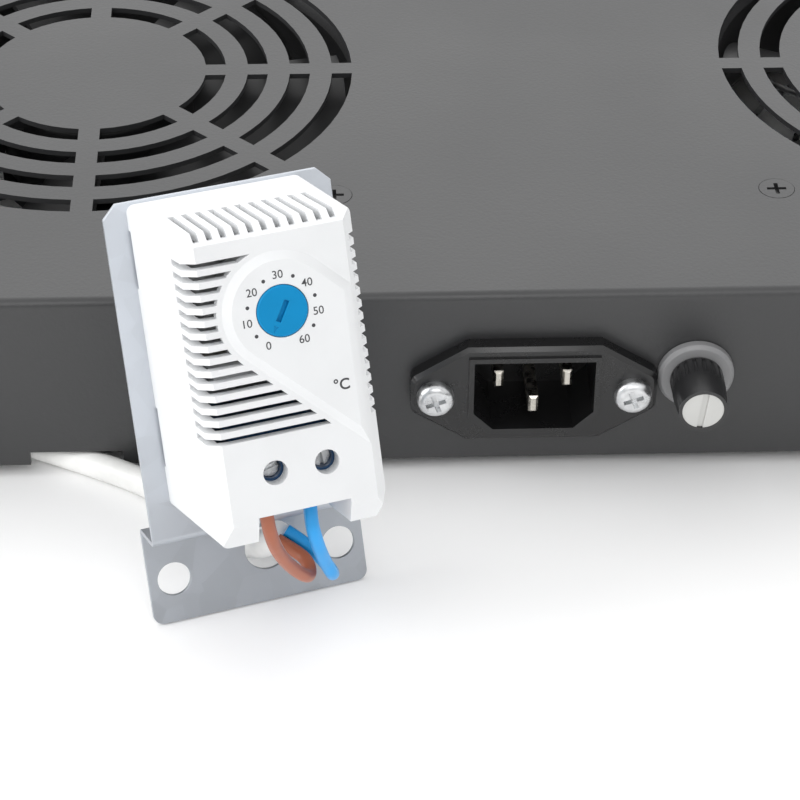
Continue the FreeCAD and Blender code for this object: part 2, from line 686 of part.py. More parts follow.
def case_solid(inset):
    """Outer form of the cover: drafted sides and a bevelled front, brought in by inset."""
    back_w = -1.0 if inset else 0.0
    stations = [(case_half_width, case_bottom, case_top, back_w),
                (shoulder_half_width, shoulder_bottom, case_top, shoulder_depth),
                (front_half_width, front_bottom, front_top, case_depth - inset)]
    solids = []
    for pair in zip(stations, stations[1:]):
        wires = []
        for half, s0, s1, w in pair:
            u0, u1, a, b = case_u - half + inset, case_u + half - inset, s0 + inset, s1 - inset
            corners = [local(u0, a, w), local(u1, a, w), local(u1, b, w), local(u0, b, w)]
            wires.append(Part.makePolygon(corners + [corners[0]]))
        solids.append(Part.makeLoft(wires, True, True))
    return fuse(solids)


def band_axes():
    """Unit vectors along the raised band and across it."""
    lean = math.radians(plateau_slant)
    return V(math.cos(lean), 0, math.sin(lean)), V(-math.sin(lean), 0, math.cos(lean))


def plateau_room(grow):
    """Upright prism over the dial field, grown outwards, that the vents stay out of."""
    r = plateau_radius + grow
    along, across = band_axes()
    centre = local(dial_u, dial_height, case_depth - 10)
    corners = [centre + across * r, centre + along * 60 + across * r,
               centre + along * 60 - across * r, centre - across * r]
    return fuse([rod(centre, FORWARD, r, 14.0), slab(corners, FORWARD * 14.0)])


def plateau():
    """Raised field round the dial: a disc and a band running off to the lower right, with
    sloped edges, cut off short of the right-hand bevel."""
    along, across = band_axes()
    r, top_r = plateau_radius, plateau_radius - plateau_slope
    centre = local(dial_u, dial_height, case_depth)
    disc = rod(centre - FORWARD * 1.5, FORWARD, r, 1.5)
    crown = cone(centre, FORWARD, r, top_r, plateau_rise)
    section = [(-r, -1.5), (r, -1.5), (r, 0.0), (top_r, plateau_rise), (-top_r, plateau_rise), (-r, 0.0)]
    band = slab([centre + across * a + FORWARD * d for a, d in section], along * 60)
    end, top_w = case_u + front_half_width, case_depth + plateau_rise
    window = slab([local(-30, 0, 30), local(end, 0, 30), local(end, 0, case_depth),
                   local(end - plateau_slope, 0, top_w), local(-30, 0, top_w)], Z * 200)
    return fuse([disc, crown, band]).common(window)


def leftmost(shape):
    """The solid that reaches furthest left."""
    return sorted(shape.Solids, key=lambda solid: solid.BoundBox.XMin)[0]


def vent_slots():
    """Cutters for the vents: across the front and left, down the right edge, and in the top."""
    room = plateau_room(0.9)
    deep, past, half = case_depth - 8.0, case_depth + 3.0, vent_width / 2
    right_end = case_u + front_half_width - 1.2
    cutters = []
    for i in range(vent_count):
        s = vent_first - i * vent_pitch
        slot = cell(-25, right_end, s - half, s + half, deep, past)
        cutters.append(leftmost(slot.cut(room)))
        cutters.append(cell(case_u + front_half_width + 1.0, 25, s - half, s + half, deep, past))
    for i in range(top_vent_count):
        u = case_u - 0.3 + (i - (top_vent_count - 1) / 2) * top_vent_pitch
        cutters.append(cell(u - half, u + half, case_top - case_wall - 0.3, case_top + 5, 17.0,
                            case_depth - case_wall))
        cutters.append(cell(u - half, u + half, front_top + 0.45, case_top + 5, 30.0, past))
    return cutters


def thermostat_cover():
    """Front shell with vents in its left, right and top, the dial field and wire opening."""
    outer = case_solid(0)
    long_edges = edges_where(outer, lambda m, d: abs(d.y) > 20 and abs(d.x) < 2 and abs(d.z) < 3)
    outer = outer.makeFillet(1.6, long_edges)
    cheeks = [cell(entry_left - 1.6, entry_left, case_bottom, entry_top, 0.5, case_depth - 1),
              cell(entry_right, entry_right + 1.6, case_bottom, entry_top, 0.5, case_depth - 1)]
    collars = [rod(local(u, terminal_height, case_depth - case_wall - 1.0), FORWARD, 3.4, 2.0)
               for u in terminal_us]
    shell = fuse([outer.cut(case_solid(case_wall)), plateau()] + collars
                 + [cheek.common(outer) for cheek in cheeks])
    cuts = vent_slots()
    cuts.append(cell(entry_left, entry_right, 0, entry_top, -1, case_depth + 3))
    cuts += [rod(local(u, terminal_height, 20), FORWARD, 2.25, 30) for u in terminal_us]
    cuts.append(rod(local(dial_u, dial_height, 20), FORWARD, dial_radius + 0.12, 30))
    corner = [local(11.8, case_bottom - 1, -1), local(18.0, case_bottom - 1, -1),
              local(18.0, case_bottom + 12.1, -1)]
    cuts.append(slab(corner, FORWARD * 60))
    for s0, s1 in ((34.5, 46.0), (68.8, 79.7)):
        for u0, u1 in ((-20.0, case_u - 15.4), (case_u + 15.4, 20.0)):
            cuts.append(cell(u0, u1, s0, s1, -1, 1.0))
    return shell.cut(cuts)


def thermostat_dial():
    """Setting dial with a screwdriver slot, a shallow pointer and its spindle."""
    face = case_depth + plateau_rise + 0.25
    disc = rod(local(dial_u, dial_height, face - 2.6), FORWARD, dial_radius, 2.6)
    disc = disc.makeChamfer(0.25, [e for e in disc.Edges if e.CenterOfMass.y < -face - bracket_jog + 0.01])
    spindle = rod(local(dial_u, dial_height, 24.0), FORWARD, 2.0, face - 24.0 - 1.0)
    slot = cell(dial_u - 0.45, dial_u + 0.45, dial_height - 2.0, dial_height + 2.0, face - 0.8, face + 1)
    pointer = slab([local(dial_u - 0.4, dial_height - 2.9, face - 0.15),
                    local(dial_u + 0.4, dial_height - 2.9, face - 0.15),
                    local(dial_u, dial_height - 4.0, face - 0.15)], FORWARD)
    turned = [spin(c, local(dial_u, dial_height, 0), V(0, 1, 0), 30) for c in (slot, pointer)]
    return fuse([disc, spindle]).cut(turned)


def switch_frame():
    """Moulded carrier inside the case: a post for the dial and a shelf for the strip."""
    post = rod(local(dial_u, dial_height, 7.05), FORWARD, 4.4, 20.0)
    post = post.cut(rod(local(dial_u, dial_height, 23.0), FORWARD, 2.0 + running_clearance, 10.0))
    shelf = cell(-11.0, 11.0, 54.0, 57.0, 1.8, 24.0)
    web = cell(dial_u - 1.5, dial_u + 1.5, 56.0, dial_height, 1.8, 24.0)
    return fuse([post, shelf, web])


def bimetal_strip():
    """Bimetal blade on the shelf, bowed towards the vents."""
    blade = cell(-11.5, -10.7, 57.3, 80.0, 8.0, 16.0)
    foot = cell(-11.5, -6.0, 57.0, 57.8, 8.0, 16.0)
    return fuse([blade, foot])


def contact_spring():
    """Snap contact beside the post."""
    blade = cell(8.0, 8.5, 57.2, 76.0, 9.0, 15.0)
    foot = cell(5.0, 8.5, 57.0, 57.6, 9.0, 15.0)
    button = rod(local(8.4, 74.0, 12.0), X * -1, 1.4, 2.0)
    return fuse([blade, foot, button])


block_foot = entry_top + 0.4


def terminal_block():
    """Two-way terminal housing with screw shafts to the front and wire holes below."""
    body = cell(case_u - 10.5, case_u + 10.5, block_foot, 47.0, 7.0, 31.0)
    cuts = []
    for u, w in zip(terminal_us, wire_depths):
        body = fuse([body, rod(local(u, terminal_height, 30.0), FORWARD, 3.2, 2.8)])
        cuts.append(rod(local(u, terminal_height, 24.0), FORWARD, 1.85, 20.0))
        cuts.append(rod(local(u, block_foot - 1.0, w), Z, conductor_radius + 0.25, 5.0))
    return body.cut(cuts)


def terminal_screws():
    """Clamp screws seen down the two shafts."""
    screws = []
    for u, turn in zip(terminal_us, (-15, 85)):
        head = local(u, terminal_height, 31.6)
        screw = rod(local(u, terminal_height, 24.2), FORWARD, 1.75, 7.4)
        slot = Part.makeBox(4.4, 2.2, 0.7, head - V(2.2, 1.0, 0.35))
        screws.append(screw.cut(spin(slot, head, V(0, 1, 0), turn)))
    return group(screws)


def base_screws():
    """Self-tapping screws through the bracket into the base."""
    screws = []
    for s in (base_screw_low, base_screw_high):
        screws.append(pan_screw(local(0, s, -bracket_thick), V(0, 1, 0), 6.0, 1.28, 2.8, 1.9))
    return group(screws)


# ---------------------------------------------------------------- cable and conductors
def tube(points, radius, label):
    """Round tube along straight runs joined by tangent arcs; prints each arc's radius."""
    edges = []
    start = points[0]
    path_length = 0.0
    radii = []
    for i in range(1, len(points) - 1):
        before, corner, after = points[i - 1], points[i], points[i + 1]
        d0, d1 = corner - before, after - corner
        run = min(d0.Length, d1.Length)
        d0.normalize()
        d1.normalize()
        turn = d0.getAngle(d1)
        cut = 0.45 * run
        arc_radius = cut / math.tan(turn / 2)
        radii.append(round(arc_radius, 1))
        a, b = corner - d0 * cut, corner + d1 * cut
        inward = d1 - d0
        inward.normalize()
        middle = corner + inward * (arc_radius / math.cos(turn / 2) - arc_radius)
        edges.append(Part.makeLine(start, a))
        edges.append(Part.Arc(a, middle, b).toShape())
        path_length += (a - start).Length + arc_radius * turn
        start = b
    edges.append(Part.makeLine(start, points[-1]))
    path_length += (points[-1] - start).Length
    path = Part.Wire(edges)
    direction = points[1] - points[0]
    circle = Part.Wire(Part.makeCircle(radius, points[0], direction))
    solid = path.makePipeShell([circle], True, True)
    expected = math.pi * radius ** 2 * path_length
    print(label, "length", round(path_length, 1), "radii", radii,
          "volume ratio", round(solid.Volume / expected, 4))
    return solid


def cable_route():
    """From the terminal block, through the notch and the bracket's hole, to the sheath's end."""
    y = rear_y
    inside = [V(strip_x + 8.0, y + 23.5, 31.8), V(-178.0, y + 23.5, 31.6), V(-166.5, y + 22.6, 26.5),
              V(-154.5, y + 20.6, 16.5), V(-141.0, y + 17.6, 9.2), V(-126.0, y + 13.6, 4.9),
              V(-110.5, y + 7.2, 3.0)]
    outside = [V(-97.2, y + 0.5, 2.9), V(-84.8, y - 7.0, 2.9), V(-75.5, y - 16.5, 3.2),
               V(-67.6, y - 27.6, 4.8)]
    return inside + outside + [place(cable_hole_u, cable_hole_height, -11.0), place(3.6, 15.0, -4.5)]


def brown_route():
    """From the left terminal down out of the case, round a hanging bend, back to the sheath."""
    shape = [(terminal_us[0], 36.0, wire_depths[0]), (-5.1, 30.4, 24.4), (-4.3, 24.2, 22.0),
             (-1.8, 18.2, 16.4), (2.2, 12.4, 10.4), (6.2, 8.4, 5.6), (7.4, 10.3, 0.8),
             (5.1, 12.5, -2.1), (2.95, 14.2, -3.7)]
    return [place(u, s, w) for u, s, w in shape]


def blue_route():
    """From the right terminal, outside the brown conductor's bend, back to the sheath."""
    shape = [(terminal_us[1], 36.0, wire_depths[1]), (4.2, 30.4, 21.3), (3.8, 24.6, 21.2),
             (5.4, 18.8, 17.4), (7.8, 13.4, 11.4), (10.6, 8.0, 6.0), (11.4, 8.0, 1.4),
             (8.6, 12.3, -3.0), (5.2, 15.3, -4.8)]
    return [place(u, s, w) for u, s, w in shape]


# ---------------------------------------------------------------- assembly
nodes["tray_body"] = tray_body()
nodes["front_panel"] = front_panel()
panel_face = rear_y + tray_depth + panel_thick
nodes["panel_screws"] = group([countersunk_screw(V(px, panel_face - 8.0, tray_height / 2), Y, 8.0, 1.95,
                                                 4.0, 2.0) for px in panel_screw_xs])
nodes["panel_nuts"] = group([hex_nut(V(px, rear_y + tray_depth - sheet, tray_height / 2), Y * -1, 7.0, 3.0,
                                     1.97) for px in panel_screw_xs])
for side, cx in zip(("left", "right"), fan_xs):
    nodes["fan_frame_" + side] = fan_frame(cx)
    nodes["fan_rotor_" + side] = fan_rotor(cx)
    nodes["fan_guard_" + side] = fan_guard(cx)
    nodes["fan_screws_" + side] = group([countersunk_screw(V(px, py, fan_bottom - 5.9), Z,
                                                           tray_height - fan_bottom + 5.9, 1.95, 3.7, 1.75)
                                         for px, py in fan_corners(cx)])
    nodes["fan_nuts_" + side] = group([hex_nut(V(px, py, fan_bottom - guard_eye), Z * -1, 7.0, 3.0, 1.97)
                                       for px, py in fan_corners(cx)])
nodes["inlet_body"] = inlet_body()
nodes["inlet_pins"] = inlet_pins()
inlet_screw_xs = [inlet_x + sx * inlet_screw_pitch / 2 for sx in (-1, 1)]
nodes["inlet_screws"] = group([pan_screw(V(px, rear_y - flange_proud, inlet_z), Y * -1, 10.0, 1.48, 3.8, 2.6)
                               for px in inlet_screw_xs])
nodes["inlet_nuts"] = group([hex_nut(V(px, rear_y + sheet, inlet_z), Y, 5.5, 2.4, 1.5)
                             for px in inlet_screw_xs])
nodes["fuse_holder_body"] = fuse_holder_body()
nodes["fuse_holder_nut"] = fuse_holder_nut()
nodes["fuse_cap"] = fuse_cap()
nodes["fuse_cap_disc"] = fuse_cap_disc()
nodes["fuse_clip"] = fuse_clip()
nodes["fuse_glass"] = fuse_glass()
nodes["fuse_end_caps"] = fuse_end_caps()
nodes["terminal_strip"] = terminal_strip()
nodes["terminal_strip_screws"] = terminal_strip_screws()
nodes["cable_clip"] = cable_clip()
nodes["clip_screw"] = pan_screw(V(clip_x + 9.0, clip_y, under_top - 2.0), Z * -1, 3.0, 1.95, 3.6, 2.2)
nodes["earth_stud"] = pan_screw(V(earth_x, earth_y, under_top - 3.2), Z * -1, 4.0, 1.95, 3.8, 2.4)
nodes["earth_nut"] = hex_nut(V(earth_x, earth_y, under_top), Z * -1, 7.0, 3.2, 1.97)
nodes["thermostat_bracket"] = seated(thermostat_bracket())
nodes["thermostat_base"] = seated(thermostat_base())
nodes["thermostat_cover"] = seated(thermostat_cover())
nodes["thermostat_dial"] = seated(thermostat_dial())
nodes["switch_frame"] = seated(switch_frame())
nodes["bimetal_strip"] = seated(bimetal_strip())
nodes["contact_spring"] = seated(contact_spring())
nodes["terminal_block"] = seated(terminal_block())
nodes["terminal_screws"] = seated(terminal_screws())
nodes["base_screws"] = seated(base_screws())
nodes["thermostat_cable"] = tube(cable_route(), cable_radius, "cable")
nodes["brown_conductor"] = tube(brown_route(), conductor_radius, "brown conductor")
nodes["blue_conductor"] = tube(blue_route(), conductor_radius, "blue conductor")

os.makedirs("parts", exist_ok=True)
everything = FreeCAD.BoundBox()
cords = ("thermostat_cable", "brown_conductor", "blue_conductor")
for name, shape in nodes.items():
    if not shape.isValid() or shape.Volume <= 0:
        print("problem in", name, shape.isValid(), shape.Volume)
    if name not in cords:
        everything.add(shape.BoundBox)
    shape.exportStep("parts/" + name + ".step")
print(len(nodes), "nodes; box", everything)
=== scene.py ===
"""Looks of a rack fan tray: black steel tray, mains inlet, fuse holder and a white enclosure thermostat."""
import json
import math

import bmesh
import bpy
import numpy as np
from mathutils import Matrix, Vector


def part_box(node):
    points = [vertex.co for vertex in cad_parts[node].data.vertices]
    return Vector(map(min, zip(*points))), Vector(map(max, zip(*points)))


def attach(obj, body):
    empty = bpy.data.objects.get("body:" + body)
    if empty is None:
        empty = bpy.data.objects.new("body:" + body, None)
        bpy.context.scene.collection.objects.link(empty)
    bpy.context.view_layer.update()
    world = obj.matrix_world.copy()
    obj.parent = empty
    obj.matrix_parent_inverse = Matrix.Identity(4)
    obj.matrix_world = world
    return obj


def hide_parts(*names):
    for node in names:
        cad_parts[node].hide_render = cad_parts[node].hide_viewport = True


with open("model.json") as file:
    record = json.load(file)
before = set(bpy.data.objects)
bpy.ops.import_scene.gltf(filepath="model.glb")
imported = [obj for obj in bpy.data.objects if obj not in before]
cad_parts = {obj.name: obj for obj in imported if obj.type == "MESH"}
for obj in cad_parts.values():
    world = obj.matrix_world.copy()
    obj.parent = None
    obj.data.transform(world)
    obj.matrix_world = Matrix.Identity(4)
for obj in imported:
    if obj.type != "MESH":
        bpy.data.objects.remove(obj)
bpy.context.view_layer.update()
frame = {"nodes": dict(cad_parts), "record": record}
MM = 0.001

# ------------------------------------------------------------------ places
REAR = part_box("tray_body")[0].y                 # outer face of the rear wall
TURN, LEAN = math.radians(17.5), math.radians(22.0)
FOOT = np.array([-62.2, REAR / MM - 40.9, math.sin(LEAN)])
JOG = 10.5                                      # the plate's step forward of the foot
FACE, RISE = 36.0, 0.8                          # the case's front face and the dial field on it
DIAL_U, DIAL_S = -0.1, 68.8                     # the dial's centre on the case's front
TERMINAL_US, WIRE_DEPTHS = (-5.05, 4.45), (24.0, 21.0)
BODY_OF = {n: b for b, names in frame["record"]["behaviour"]["bodies"].items() for n in names}


def turned(points):
    """Thermostat axes to row axes: lean back about X by LEAN, then turn about Z by TURN."""
    u, s, w = (np.asarray(points, float)[..., i] for i in range(3))
    y, z = -(w + JOG), s
    y, z = y * math.cos(LEAN) + z * math.sin(LEAN), -y * math.sin(LEAN) + z * math.cos(LEAN)
    x, y = u * math.cos(TURN) - y * math.sin(TURN), u * math.sin(TURN) + y * math.cos(TURN)
    return np.stack([x, y, z], -1)


def seat(points):
    """Points (u right, s up the bracket, w forward), in millimetres, to metres in the row frame."""
    return (turned(points) + FOOT) * MM


# ------------------------------------------------------------------ camera
def set_camera():
    """Camera from its three axes and its place, a long lens with no shift."""
    data = bpy.data.cameras.new("camera")
    data.lens, data.sensor_width, data.clip_start = 121.5, 36.0, 0.01
    camera = bpy.data.objects.new("camera", data)
    right, up = Vector((0.99926, -0.03773, 0.0068)), Vector((0.0173, 0.60198, 0.79833))
    back = right.cross(up).normalized()
    up = back.cross(right).normalized()
    turn = Matrix((right.normalized(), up, back)).transposed().to_4x4()
    camera.matrix_world = Matrix.Translation((-0.0528, REAR - 0.43898, 0.3497)) @ turn
    bpy.context.scene.collection.objects.link(camera)
    bpy.context.scene.camera = camera


set_camera()


# ------------------------------------------------------------------ shader toolkit
class Sock:
    """A shader socket whose arithmetic adds Math nodes."""

    def __init__(self, finish, socket):
        self.finish, self.socket = finish, socket

    def _do(self, operation, *values):
        return self.finish.node("ShaderNodeMath", {"operation": operation}, dict(enumerate(values)))

    def __add__(self, other):
        return self._do("ADD", self, other)

    def __mul__(self, other):
        return self._do("MULTIPLY", self, other)

    __radd__, __rmul__ = __add__, __mul__

    def ramp(self, low, high, to_low=0.0, to_high=1.0):
        """Smooth step: to_low below low, to_high above high."""
        settings = {"interpolation_type": "SMOOTHSTEP"}
        return self.finish.node("ShaderNodeMapRange", settings,
                                {0: self, 1: low, 2: high, 3: to_low, 4: to_high})


class Finish:
    """One material: a Principled shader and the patterns that feed it."""

    def __init__(self, name, colour, roughness, metallic=0.0, coat=0.0, **fixed):
        self.material = bpy.data.materials.new(name)
        self.material.use_nodes = True
        self.tree = self.material.node_tree
        self.shader = self.tree.nodes["Principled BSDF"]
        self.set(**{"Base Color": (*colour, 1.0), "Roughness": roughness, "Metallic": metallic,
                    "Coat Weight": coat}, **{k.replace("_", " "): v for k, v in fixed.items()})
        self.material.diffuse_color = (*colour, 1.0)

    def set(self, **inputs):
        for name, value in inputs.items():
            self.plug(self.shader.inputs[name], value)

    def plug(self, socket, value):
        if isinstance(value, Sock):
            self.tree.links.new(value.socket, socket)
        else:
            socket.default_value = value

    def node(self, kind, settings=None, inputs=None, out=0):
        """Any node: its settings first, then the values or links of its sockets."""
        made = self.tree.nodes.new(kind)
        for name, value in (settings or {}).items():
            setattr(made, name, value)
        for key, value in (inputs or {}).items():
            self.plug(made.inputs[key], value)
        return Sock(self, made.outputs[out])

    def place(self, stretch=(1, 1, 1)):
        """Object coordinates, stretched."""
        coordinates = self.node("ShaderNodeTexCoord", out="Object")
        return self.node("ShaderNodeMapping", {}, {"Vector": coordinates, "Scale": stretch})

    def noise(self, size, detail=2.0, stretch=(1, 1, 1)):
        """Noise whose lumps are about size metres."""
        inputs = {"Vector": self.place(stretch), "Scale": 1.0 / size, "Detail": detail}
        return self.node("ShaderNodeTexNoise", {}, inputs, out="Fac")

    def cells(self, size, out="Distance"):
        """Cells about size metres across."""
        inputs = {"Vector": self.place(), "Scale": 1.0 / size}
        return self.node("ShaderNodeTexVoronoi", {"feature": "F1"}, inputs, out=out)

    def blend(self, share, first, second):
        """Colour mix: first where share is 0, second where it is 1."""
        settings = {"data_type": "RGBA", "clamp_factor": True}
        inputs = {0: share, 6: (*first, 1.0), 7: (*second, 1.0)}
        return self.node("ShaderNodeMix", settings, inputs, out=2)

    def bump(self, height, depth, strength):
        """Height pattern, depth metres high, on the normal."""
        inputs = {"Height": height, "Distance": depth, "Strength": strength}
        return self.node("ShaderNodeBump", {}, inputs)


# ------------------------------------------------------------------ finishes
def powder_coat(name, colour, roughness=0.4):
    """Fine-textured black powder coat: small lumps, a slow drift of tone, faint dust."""
    f = Finish(name, colour, roughness, Specular_IOR_Level=0.75)
    lumps, grains, drift = f.noise(0.0009, 3.0), f.cells(0.0007), f.noise(0.05, 3.0)
    dust = f.noise(0.0022, 4.0).ramp(0.62, 0.75)
    lighter = tuple(c * 1.35 + 0.004 for c in colour)
    f.set(**{"Base Color": f.blend(drift.ramp(0.3, 0.7) * 0.6 + dust * 0.25, colour, lighter),
             "Roughness": drift.ramp(0.3, 0.7, roughness - 0.04, roughness + 0.05) + lumps * 0.06,
             "Normal": f.bump(lumps + grains * 0.5, 0.00005, 0.7)})
    return f.material


def moulding(name, colour, roughness=0.4, tone=0.93, **fixed):
    """Injection-moulded plastic: spark-eroded grain and a slow drift in tone."""
    f = Finish(name, colour, roughness, **fixed)
    fine, slow = f.noise(0.0004, 2.0), f.noise(0.014, 3.0)
    darker = tuple(c * tone for c in colour)
    f.set(**{"Base Color": f.blend(slow.ramp(0.35, 0.65), darker, colour),
             "Roughness": slow.ramp(0.3, 0.7, roughness - 0.03, roughness + 0.05) + fine * 0.05,
             "Normal": f.bump(fine, 0.00001, 0.6)})
    return f.material


def plated(name, colour, roughness=0.28):
    """Zinc or nickel plate: cloudy tone, fine scratches."""
    f = Finish(name, colour, roughness, metallic=1.0)
    cloud, hair = f.noise(0.002, 4.0), f.noise(0.0006, 3.0)
    darker = tuple(c * 0.72 for c in colour)
    f.set(**{"Base Color": f.blend(cloud.ramp(0.3, 0.75), darker, colour),
             "Roughness": cloud.ramp(0.3, 0.7, roughness - 0.06, roughness + 0.14) + hair * 0.08,
             "Normal": f.bump(hair, 0.00003, 0.3)})
    return f.material


def galvanised(name, colour):
    """Galvanised sheet: faint crystal facets in tone and gloss, rolling lines, and painted shade: darker
    near the floor, paler higher up.
    """
    f = Finish(name, colour, 0.42, metallic=0.9)
    height = f.node("ShaderNodeSeparateXYZ", {}, {0: f.place()}, out=2)
    facet = f.node("ShaderNodeSeparateColor", {}, {0: f.cells(0.006, out="Color")})
    lines, cloud = f.noise(0.0008, 2.0, (1, 1, 0.08)), f.noise(0.012, 4.0)
    paler = tuple(min(1.0, c * 1.7) for c in colour)
    # facets and cloud are the sheet's own tone; the height ramp is painted shade near the floor and painted
    # light higher up
    tone_and_painted_light = facet * 0.15 + cloud * 0.2 + height.ramp(0.008, 0.05, 0.0, 0.6)
    f.set(**{"Base Color": f.blend(tone_and_painted_light, colour, paler),
             "Roughness": facet * 0.12 + cloud * 0.15 + 0.32,
             "Normal": f.bump(lines + facet * 0.4, 0.00003, 0.5)})
    return f.material


def vinyl(name, colour, roughness=0.34):
    """Soft extruded vinyl: slow smudges in tone and gloss over a fine ripple."""
    f = Finish(name, colour, roughness, Specular_IOR_Level=0.5)
    smudge = f.noise(0.006, 4.0)
    paler = tuple(min(1.0, c * 1.12 + 0.01) for c in colour)
    f.set(**{"Base Color": f.blend(smudge.ramp(0.3, 0.7), colour, paler),
             "Roughness": smudge.ramp(0.3, 0.7, roughness - 0.05, roughness + 0.12),
             "Normal": f.bump(smudge + f.noise(0.0009, 2.0) * 0.4, 0.00008, 0.4)})
    return f.material


def clear_glass(name):
    """Thin clear glass."""
    f = Finish(name, (0.95, 0.97, 0.97), 0.04, Transmission_Weight=1.0, IOR=1.45)
    f.set(Roughness=f.noise(0.002).ramp(0.4, 0.7, 0.03, 0.08))
    return f.material


BLACK_COAT = (0.021, 0.0214, 0.0225)
FINISHES = {
    "black_paint": powder_coat("tray_powder_coat", BLACK_COAT),
    "panel_paint": powder_coat("panel_powder_coat", BLACK_COAT),
    "black_screw": powder_coat("painted_screw", BLACK_COAT),
    "zinc": plated("zinc_plate", (0.84, 0.85, 0.86), 0.26),
    "galvanised": galvanised("galvanised_sheet", (0.39, 0.41, 0.44)),
    "fan_frame": powder_coat("fan_casting_paint", (0.018, 0.018, 0.019), 0.42),
    "rotor_plastic": moulding("rotor_moulding", (0.016, 0.016, 0.017), 0.38),
    "inlet_plastic": moulding("inlet_moulding", (0.008, 0.008, 0.0085), 0.26, Specular_IOR_Level=0.6),
    "brass_pins": plated("nickelled_brass", (0.72, 0.69, 0.62), 0.22),
    "fuse_grey": moulding("fuse_holder_moulding", (0.25, 0.25, 0.255), 0.42, coat=0.1),
    "fuse_black": moulding("fuse_cap_moulding", (0.014, 0.014, 0.015), 0.28, Specular_IOR_Level=0.7),
    "cap_disc": moulding("cap_disc_moulding", (0.62, 0.62, 0.6), 0.35),
    "spring_bronze": plated("spring_bronze", (0.7, 0.5, 0.3), 0.25),
    "fuse_glass": clear_glass("fuse_tube_glass"),
    "terminal_white": moulding("terminal_nylon", (0.75, 0.74, 0.69), 0.4),
    "case_white": moulding("case_moulding", (0.765, 0.775, 0.785), 0.44, tone=0.97),
    "dial_blue": moulding("dial_moulding", (0.0, 0.235, 0.51), 0.42, 0.9, Specular_IOR_Level=0.2),
    "terminal_blue": moulding("terminal_moulding", (0.008, 0.05, 0.13), 0.4),
    "bimetal": plated("bimetal_strip_metal", (0.55, 0.52, 0.46), 0.3),
    "cable_white": vinyl("cable_vinyl", (0.84, 0.84, 0.82)),
    "brown_vinyl": vinyl("brown_conductor_vinyl", (0.37, 0.105, 0.048)),
    "blue_vinyl": vinyl("blue_conductor_vinyl", (0.0, 0.31, 0.74)),
    "print": moulding("printed_ink", (0.05, 0.05, 0.055), 0.5),
    "dull_zinc": plated("dull_zinc_plate", (0.16, 0.16, 0.165), 0.5),
}
DULL = ("earth_stud", "clip_screw")             # their tips show in the tray's top
NODE_SLOTS = {row["node"]: row["material_slot"] for row in frame["record"]["subparts"]}
for node, slot in NODE_SLOTS.items():
    data = frame["nodes"][node].data
    data.materials.clear()
    data.materials.append(FINISHES["dull_zinc" if node in DULL else slot])


# ------------------------------------------------------------------ softened edges
EDGE = math.radians(25)                         # a fold sharper than this is an edge
FLAT = math.radians(0.6)                        # faces nearer than this in direction are one face


def softened(node, width):
    """The node's own mesh, merged, its flats joined up, and every edge sharper than EDGE rounded."""
    source = frame["nodes"][node]
    mesh = bpy.data.meshes.new(node + "_soft")
    work = bmesh.new()
    work.from_mesh(source.data)
    bmesh.ops.remove_doubles(work, verts=work.verts, dist=2e-6)
    bmesh.ops.dissolve_limit(work, angle_limit=FLAT, verts=work.verts, edges=work.edges)
    work.to_mesh(mesh)
    work.free()
    for attribute in [a for a in mesh.attributes if a.name == "custom_normal"]:
        mesh.attributes.remove(attribute)
    mesh.shade_smooth()
    mesh.set_sharp_from_angle(angle=EDGE)
    mesh.materials.clear()
    mesh.materials.append(FINISHES[NODE_SLOTS[node]])
    made = bpy.data.objects.new(node + "_soft", mesh)
    bpy.context.scene.collection.objects.link(made)
    edge = made.modifiers.new("edge", "BEVEL")
    edge.width, edge.segments, edge.limit_method = width * MM, 2, "ANGLE"
    edge.angle_limit, edge.harden_normals, edge.use_clamp_overlap = EDGE, True, True
    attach(made, BODY_OF[node])
    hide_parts(node)
    return made


# node: width of its rounded edges, in millimetres
SOFT_EDGES = {"thermostat_cover": 0.16, "inlet_body": 0.22, "fuse_holder_body": 0.2, "fuse_cap": 0.12,
              "thermostat_bracket": 0.12, "thermostat_dial": 0.1, "inlet_pins": 0.15, "fuse_cap_disc": 0.08}
for node, width in SOFT_EDGES.items():
    softened(node, width)


# ------------------------------------------------------------------ cords
def cord_curve(node, name, route, radius, slot):
    """A round cord: a quadratic NURBS line with the route's points as its control points."""
    curve = bpy.data.curves.new(name, "CURVE")
    curve.dimensions, curve.resolution_u = "3D", 24
    curve.bevel_depth, curve.bevel_resolution, curve.use_fill_caps = radius, 8, True
    spline = curve.splines.new("NURBS")
    spline.points.add(len(route) - 1)
    spline.points.foreach_set("co", np.column_stack([route, np.ones(len(route))]).ravel())
    spline.order_u, spline.use_endpoint_u = 3, True
    curve.materials.append(FINISHES[slot])
    made = bpy.data.objects.new(name, curve)
    bpy.context.scene.collection.objects.link(made)
    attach(made, "tray")
    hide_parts(node)


def cable_points():
    """Route of the cable: terminal block, clip, notch, floor, then up through the bracket's hole."""
    y = REAR / MM
    inside = [(-188.0, y + 23.5, 31.8), (-178.0, y + 23.5, 31.6), (-166.5, y + 22.6, 26.5),
              (-154.5, y + 20.6, 16.5), (-141.0, y + 17.6, 9.2), (-126.0, y + 13.6, 4.9),
              (-110.5, y + 7.2, 3.0)]
    outside = [(-97.2, y + 0.5, 2.9), (-84.8, y - 7.0, 2.9), (-75.5, y - 16.5, 3.2), (-67.6, y - 27.6, 4.8)]
    flat = np.array(inside + outside) * MM
    return np.vstack([flat, seat([(2.3, 10.8, -11.0), (3.6, 15.0, -4.5)])])


def brown_points():
    """Route of the brown conductor: left terminal, a hanging bend, the sheath's end."""
    return seat([(TERMINAL_US[0], 36.0, WIRE_DEPTHS[0]), (-5.1, 30.4, 24.4), (-4.3, 24.2, 22.0),
                 (-1.8, 18.2, 16.4), (2.2, 12.4, 10.4), (6.2, 8.4, 5.6), (7.4, 10.3, 0.8),
                 (5.1, 12.5, -2.1), (2.95, 14.2, -3.7)])


